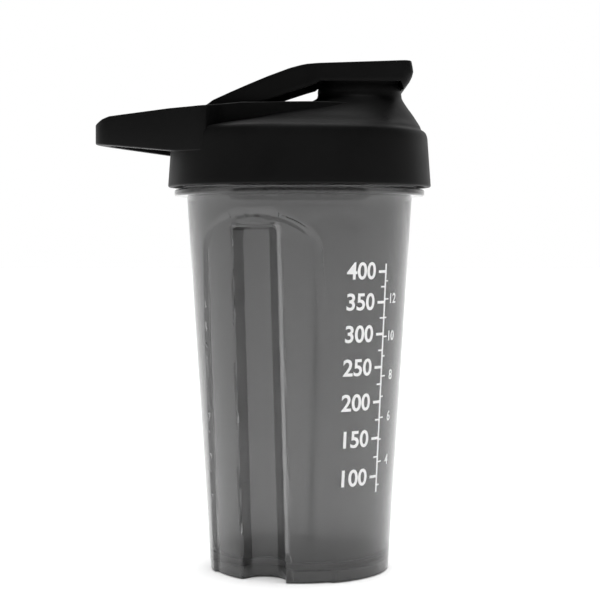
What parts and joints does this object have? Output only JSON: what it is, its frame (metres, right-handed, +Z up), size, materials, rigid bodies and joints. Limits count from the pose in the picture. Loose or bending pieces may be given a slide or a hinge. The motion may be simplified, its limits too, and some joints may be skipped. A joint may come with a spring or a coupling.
{
  "type": "protein shaker bottle",
  "caption": "Tapered translucent shaker cup with grip channels, a screw-on lid with a carry loop, a hinged flip cap over an offset spout and a clip-in mixing strainer.",
  "frame": {"origin": "middle of the bottle's box on the surface it stands on; the cup's own axis stands 13.9 mm to the +X side, because the carry loop reaches further out than the lid's skirt", "axes": "+Z up the bottle, its longest extent; +X from the carry loop towards the spout; +Y across the lid, its shortest extent"},
  "size_m": [0.1286, 0.1008, 0.193],
  "materials": {
    "cup": "translucent smoke grey polypropylene, lightly frosted",
    "lid": "satin black moulded polypropylene",
    "flip_cap": "satin black moulded polypropylene",
    "spout_plug": "black thermoplastic elastomer",
    "hinge_pin": "stainless steel wire pin",
    "lid_gasket": "grey silicone",
    "mixing_strainer": "black moulded polypropylene"
  },
  "bodies": {
    "cup": {"cup": "cup"},
    "seal": {"lid_gasket": "lid_gasket"},
    "lid": {"lid": "lid", "hinge_pin": "hinge_pin"},
    "flip_cap": {"flip_cap": "flip_cap", "spout_plug": "spout_plug"},
    "strainer": {"mixing_strainer": "mixing_strainer"}
  },
  "joints": [
    {"name": "lid_lift", "type": "slide", "parent": "cup", "child": "seal", "axis": [0, 0, 1], "range_m": [0, 0.0225]},
    {"name": "lid_turn", "type": "hinge", "parent": "seal", "child": "lid", "pos_m": [0.0139, 0, 0.16], "axis": [0, 0, 1], "range_deg": [0, 900]},
    {"name": "cap_flip", "type": "hinge", "parent": "lid", "child": "flip_cap", "pos_m": [-0.0236, 0, 0.1723], "axis": [0, -1, 0], "range_deg": [0, 130]},
    {"name": "strainer_pull", "type": "slide", "parent": "lid", "child": "strainer", "axis": [0, 0, -1], "range_m": [0, 0.018]}
  ],
  "couplings": [
    {"joint": "lid_lift", "follows": "lid_turn", "m_per_rad": 0.0014324}
  ]
}
